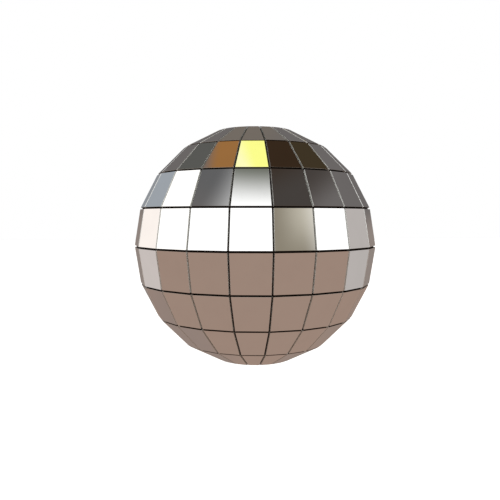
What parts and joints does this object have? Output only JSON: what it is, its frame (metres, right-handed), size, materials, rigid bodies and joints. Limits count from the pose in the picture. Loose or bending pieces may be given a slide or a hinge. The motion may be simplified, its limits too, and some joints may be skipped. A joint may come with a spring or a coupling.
{
  "type": "mirror ball",
  "caption": "Hanging stage ball covered in flat square glass mirrors, with a folding bail on a free swivel in a well at the top and a flat cap at the bottom.",
  "frame": {"origin": "centre of the ball", "axes": "+Z is the spin axis, up towards the hanging bail; +X is along the bail's pin; the bail is folded towards +Y"},
  "size_m": [0.2994, 0.2994, 0.2928],
  "materials": {
    "mirror": "polished silvered glass with ground edges",
    "core_plastic": "moulded black plastic",
    "brushed_cap": "brushed",
    "bright_steel": "bright plated",
    "zinc_steel": "zinc plated",
    "cage_brass": "pressed",
    "gasket": "matt"
  },
  "bodies": {
    "hanger": {"swivel_spindle": "bright_steel", "lower_race": "bright_steel", "spindle_washer": "zinc_steel", "spindle_nut": "zinc_steel", "bail_pin": "bright_steel", "pin_clip": "bright_steel"},
    "ball": {"mirror_band_upper_1": "mirror", "mirror_band_upper_2": "mirror", "mirror_band_upper_3": "mirror", "mirror_band_upper_4": "mirror", "mirror_band_lower_1": "mirror", "mirror_band_lower_2": "mirror", "mirror_band_lower_3": "mirror", "mirror_band_lower_4": "mirror", "mirror_ring_top": "mirror", "mirror_ring_bottom": "mirror", "core_upper": "core_plastic", "core_lower": "core_plastic", "splice_ring": "core_plastic", "well_cup": "brushed_cap", "well_gasket": "gasket", "load_plate": "zinc_steel", "cap_screw_1": "bright_steel", "cap_screw_2": "bright_steel", "cap_screw_3": "bright_steel", "cap_screw_4": "bright_steel", "bearing_housing": "zinc_steel", "housing_plug": "zinc_steel", "upper_race": "bright_steel", "tie_rod": "zinc_steel", "rod_lock_nut": "zinc_steel", "bottom_plate": "zinc_steel", "spring_washer": "bright_steel", "bottom_nut": "zinc_steel", "bottom_cap": "brushed_cap"},
    "cage": {"ball_cage": "cage_brass"},
    "bail": {"bail": "bright_steel"}
  },
  "joints": [
    {"name": "ball_spin", "type": "hinge", "parent": "hanger", "child": "ball", "pos_m": [0, 0, 0], "axis": [0, 0, 1], "continuous": true},
    {"name": "cage_spin", "type": "hinge", "parent": "hanger", "child": "cage", "pos_m": [0, 0, 0], "axis": [0, 0, 1], "continuous": true},
    {"name": "bail_fold", "type": "hinge", "parent": "hanger", "child": "bail", "pos_m": [0, 0, 0.139], "axis": [1, 0, 0], "range_deg": [0, 180]}
  ],
  "couplings": [
    {"joint": "cage_spin", "follows": "ball_spin", "ratio": 0.5}
  ]
}
